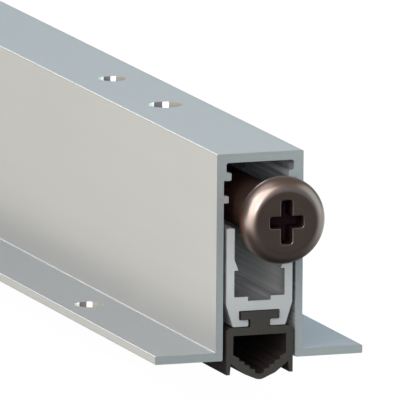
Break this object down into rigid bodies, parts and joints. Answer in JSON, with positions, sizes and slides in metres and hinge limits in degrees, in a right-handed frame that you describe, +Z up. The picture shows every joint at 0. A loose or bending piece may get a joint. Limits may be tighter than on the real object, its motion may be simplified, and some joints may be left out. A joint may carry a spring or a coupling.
{
  "type": "automatic door bottom seal",
  "caption": "Aluminium channel with side flanges, mortised in a door's bottom edge; pressing the end plunger drives a cam bar that drops a rubber seal to the floor.",
  "frame": {"origin": "centre of the four flange screw holes, in the plane of the flanges' top faces, which bear on the door's bottom edge", "axes": "+X along the seal towards the plunger, +Z up into the door, +Y across the door's thickness"},
  "size_m": [0.3492, 0.0384, 0.0401],
  "materials": {
    "housing_aluminium": "satin anodised",
    "carrier_aluminium": "satin, as extruded",
    "seal_rubber": "matt",
    "bronze": "dark bronze, smooth turned",
    "zinc_steel": "bright zinc plated",
    "spring_steel": "drawn wire",
    "dark_screws": "black oxide",
    "acetal": "moulded, matt black"
  },
  "bodies": {
    "housing": {"housing": "housing_aluminium", "plunger_bush": "acetal", "bush_screw": "dark_screws", "guide_block_front": "acetal", "guide_screws_front": "dark_screws", "guide_block_rear": "acetal", "guide_screws_rear": "dark_screws", "spring_stop": "acetal", "spring_stop_screw": "dark_screws"},
    "carrier": {"seal_carrier": "carrier_aluminium", "rubber_seal": "seal_rubber", "hanger_front": "zinc_steel", "hanger_rear": "zinc_steel", "cam_pin_front": "zinc_steel", "cam_pin_rear": "zinc_steel", "hanger_screws_front": "dark_screws", "hanger_screws_rear": "dark_screws"},
    "actuator": {"actuating_bar": "zinc_steel", "front_slider": "acetal", "front_slider_pin": "zinc_steel", "rear_slider": "acetal", "rear_slider_pin": "zinc_steel", "adjusting_stud": "zinc_steel", "tail_rod": "zinc_steel", "return_stop_nut": "zinc_steel", "return_spring": "spring_steel", "locking_spring": "spring_steel"},
    "washer": {"thrust_washer": "zinc_steel"},
    "plunger": {"plunger": "bronze"}
  },
  "joints": [
    {"name": "seal_drop", "type": "slide", "parent": "housing", "child": "carrier", "axis": [0, 0, -1], "range_m": [0, 0.008]},
    {"name": "plunger_push", "type": "slide", "parent": "housing", "child": "actuator", "axis": [-1, 0, 0], "range_m": [0, 0.0064], "stiffness_N_per_m": 1500, "springref_m": -0.01, "deforming": ["return_spring"]},
    {"name": "plunger_advance", "type": "slide", "parent": "actuator", "child": "washer", "axis": [1, 0, 0], "range_m": [-0.0016, 0.0032], "deforming": ["locking_spring"]},
    {"name": "plunger_turn", "type": "hinge", "parent": "washer", "child": "plunger", "pos_m": [0.1675, 0, 0.0251], "axis": [1, 0, 0], "range_deg": [-720, 1440]}
  ],
  "couplings": [
    {"joint": "plunger_push", "follows": "seal_drop", "ratio": 0.8},
    {"joint": "plunger_turn", "follows": "plunger_advance", "rad_per_m": 7854}
  ]
}
